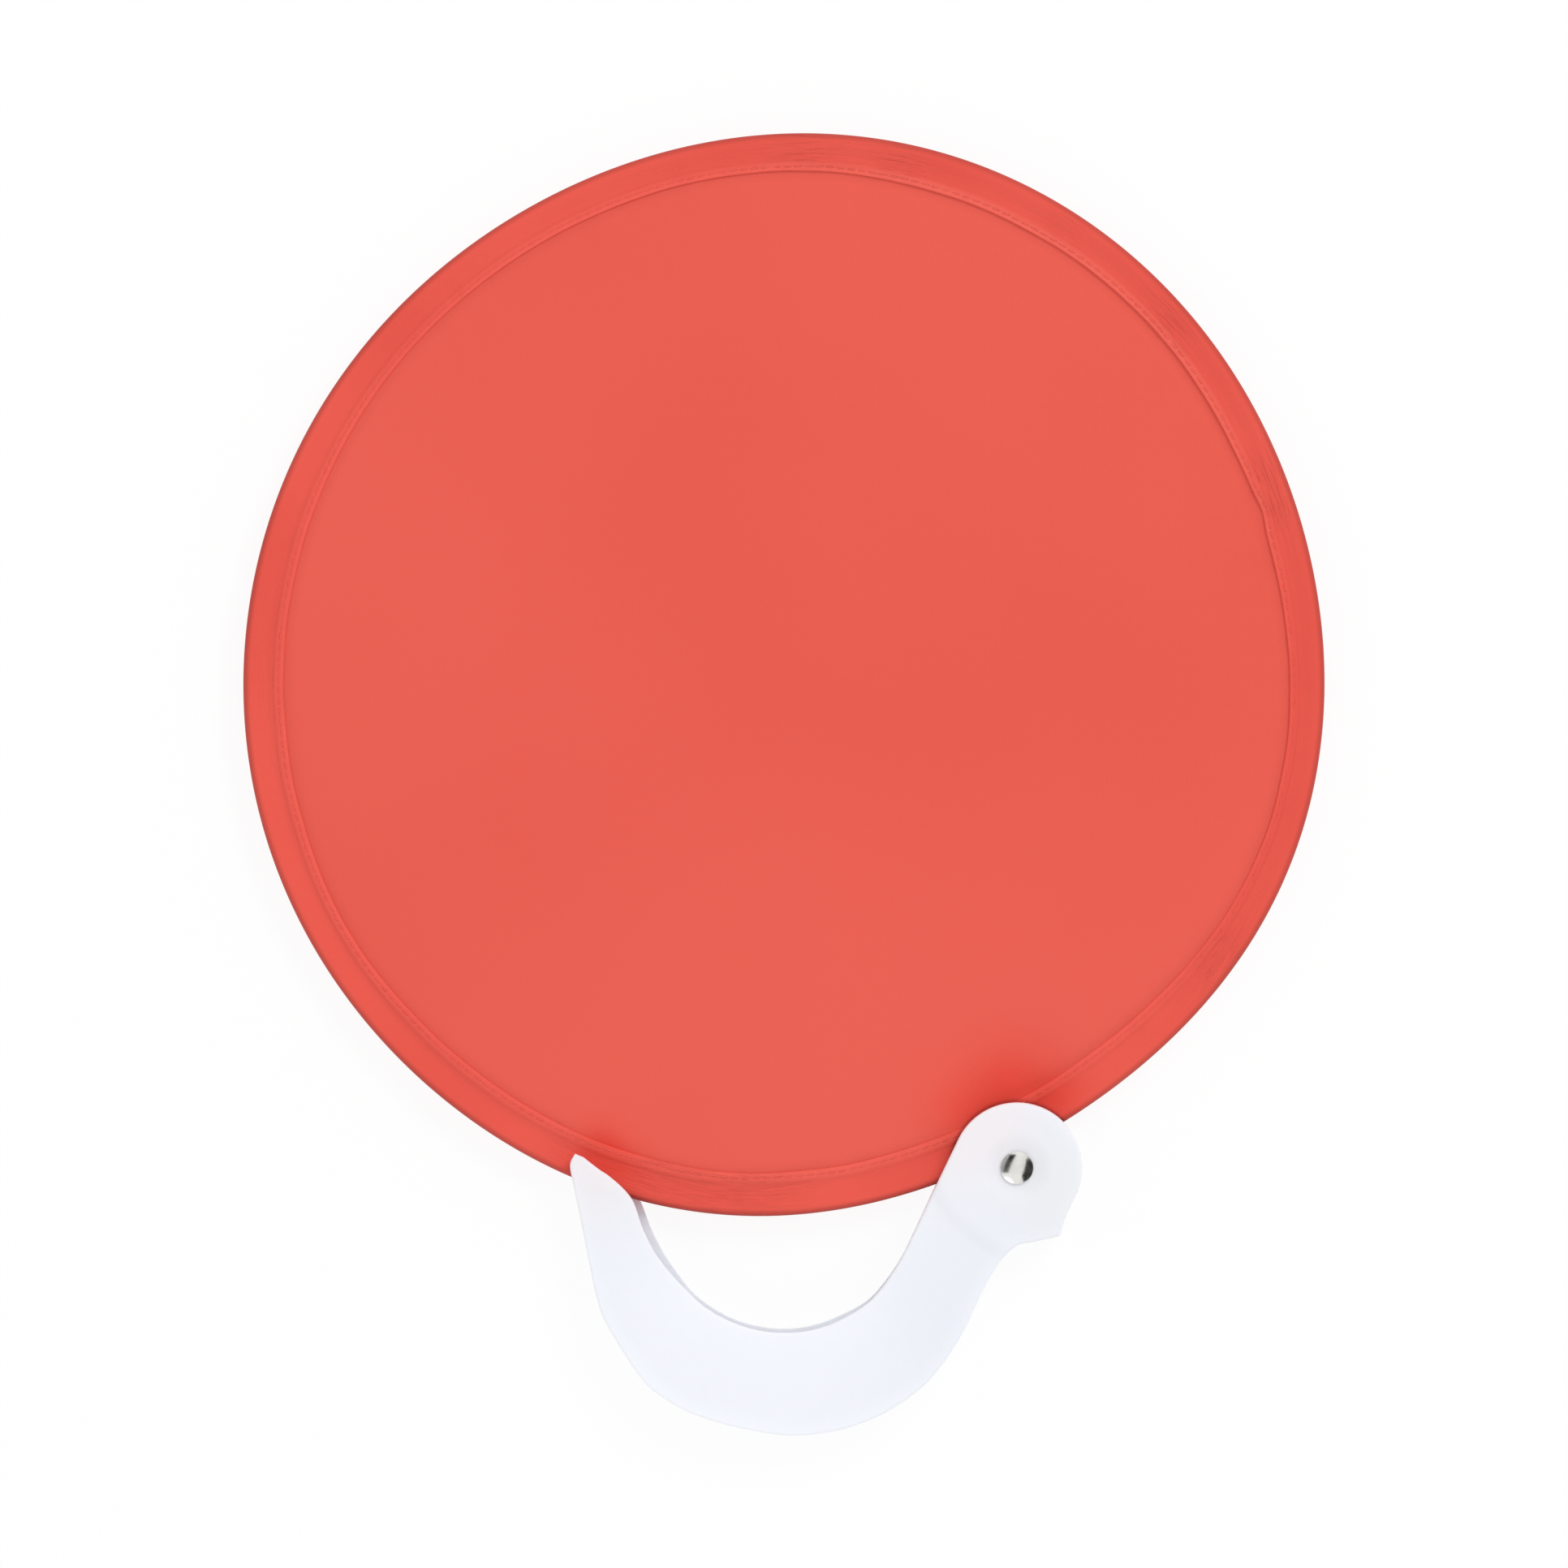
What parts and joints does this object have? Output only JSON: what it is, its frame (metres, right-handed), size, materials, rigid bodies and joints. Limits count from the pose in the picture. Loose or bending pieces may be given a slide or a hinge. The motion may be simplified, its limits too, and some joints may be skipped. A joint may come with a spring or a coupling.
{
  "type": "collapsible disc fan",
  "caption": "Round hand fan: a nylon disc on a twist-fold spring ring, with a slotted crescent handle that swings on a rivet.",
  "frame": {"origin": "centre of the fan's box in plan, at the height of the handle's back face, on which the fan lies", "axes": "+Z out of the front of the fan, +Y from the handle up the disc, +X to the right as the front is looked at"},
  "size_m": [0.2504, 0.3014, 0.0124],
  "materials": {
    "red_nylon": "plain woven nylon, slight sheen",
    "red_tape": "folded woven tape",
    "red_thread": "polyester sewing thread",
    "spring_steel": "bare spring strip",
    "frosted_polypropylene": "milky, slightly see-through, satin",
    "white_polypropylene": "plain moulded",
    "nickel_plate": "bright nickel plate"
  },
  "bodies": {
    "disc": {"nylon_panel": "red_nylon", "rim_binding": "red_tape", "seam_thread_front": "red_thread", "seam_thread_back": "red_thread", "spring_ring": "spring_steel"},
    "handle": {"handle": "frosted_polypropylene", "rivet": "nickel_plate", "rivet_washer": "nickel_plate", "spacer_front": "white_polypropylene", "spacer_back": "white_polypropylene"}
  },
  "joints": [
    {"name": "handle_swing", "type": "hinge", "parent": "disc", "child": "handle", "pos_m": [0.0539, -0.08878, 0.00605], "axis": [0, 0, 1], "range_deg": [0, 90]}
  ]
}
